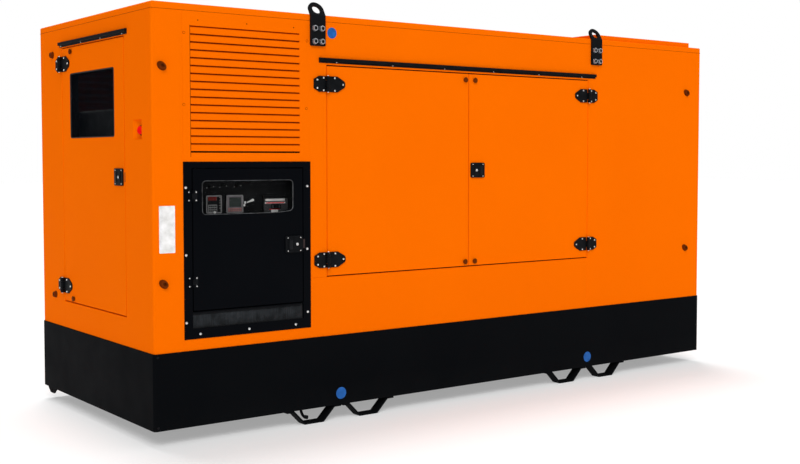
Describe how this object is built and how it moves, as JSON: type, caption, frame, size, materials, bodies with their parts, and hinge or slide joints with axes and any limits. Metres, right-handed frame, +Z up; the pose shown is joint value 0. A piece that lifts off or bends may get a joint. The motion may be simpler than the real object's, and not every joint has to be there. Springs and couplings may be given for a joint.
{
  "type": "diesel generator set",
  "caption": "Silenced diesel generator set: folded canopy with service doors, louvres and a control cabinet on a black base tank with fork hoops and lifting eyes.",
  "frame": {"origin": "middle of the footprint, on the floor under the fork hoops", "axes": "+X along the set from the end door towards the radiator, +Y from the control side to the back, +Z up"},
  "size_m": [4.342, 1.642, 2.3572],
  "materials": {
    "canopy_paint": "satin powder coat, orange",
    "base_paint": "satin powder coat, black",
    "cabinet_paint": "satin powder coat, black",
    "black_hardware": "moulded, fine texture",
    "lifting_plate": "black coat on thick plate",
    "instrument_plastic": "moulded grey instruments on a black plate",
    "rubber": "matt sheet",
    "button_plastic": "glossy red",
    "engine_paint": "painted casting, grey",
    "alternator_paint": "painted casting, dark grey",
    "radiator_paint": "matt black",
    "bare_steel": "dull aluminised steel",
    "lining_foam": "open-cell acoustic foam",
    "window_pane": "tinted, clear",
    "cabinet_pane": "clear, lightly tinted"
  },
  "bodies": {
    "enclosure": {"base_tank": "base_paint", "fork_hoops_front": "base_paint", "fork_hoops_back": "base_paint", "corner_panel": "canopy_paint", "louvre_panel": "canopy_paint", "front_post": "canopy_paint", "front_sill": "canopy_paint", "front_header": "canopy_paint", "front_wall_right": "canopy_paint", "control_cabinet": "cabinet_paint", "instrument_panel": "instrument_plastic", "cable_flap": "rubber", "back_wall": "canopy_paint", "back_louvre_panel": "canopy_paint", "back_doors": "canopy_paint", "end_jamb_front": "canopy_paint", "end_jamb_back": "canopy_paint", "end_header": "canopy_paint", "end_sill": "canopy_paint", "stop_button": "button_plastic", "right_end_wall": "canopy_paint", "right_end_cover": "canopy_paint", "roof": "canopy_paint", "discharge_grille": "canopy_paint", "rain_gutters": "black_hardware", "hinge_leaves": "black_hardware", "back_hardware": "black_hardware", "lifting_eyes_front": "lifting_plate", "lifting_eyes_back": "lifting_plate", "engine_rails": "base_paint", "engine": "engine_paint", "alternator": "alternator_paint", "radiator": "radiator_paint", "silencer": "bare_steel"},
    "front_door_left": {"front_door_left": "canopy_paint", "front_door_left_lining": "lining_foam", "front_door_left_hinges": "black_hardware"},
    "front_door_right": {"front_door_right": "canopy_paint", "front_door_right_lining": "lining_foam", "front_door_right_hardware": "black_hardware"},
    "end_door": {"end_door": "canopy_paint", "end_door_lining": "lining_foam", "end_door_window": "window_pane", "end_door_hardware": "black_hardware"},
    "control_door": {"control_door": "cabinet_paint", "control_door_window": "cabinet_pane", "control_door_hardware": "black_hardware"}
  },
  "joints": [
    {"name": "front_door_left_hinge", "type": "hinge", "parent": "enclosure", "child": "front_door_left", "pos_m": [-1.0895, -0.81, 1.4], "axis": [0, 0, -1], "range_deg": [0, 175]},
    {"name": "front_door_right_hinge", "type": "hinge", "parent": "enclosure", "child": "front_door_right", "pos_m": [0.9895, -0.81, 1.4], "axis": [0, 0, 1], "range_deg": [0, 175]},
    {"name": "end_door_hinge", "type": "hinge", "parent": "enclosure", "child": "end_door", "pos_m": [-2.16, 0.435, 1.4], "axis": [0, 0, -1], "range_deg": [0, 175]},
    {"name": "control_door_hinge", "type": "hinge", "parent": "enclosure", "child": "control_door", "pos_m": [-1.924, -0.805, 1], "axis": [0, 0, -1], "range_deg": [0, 175]}
  ]
}
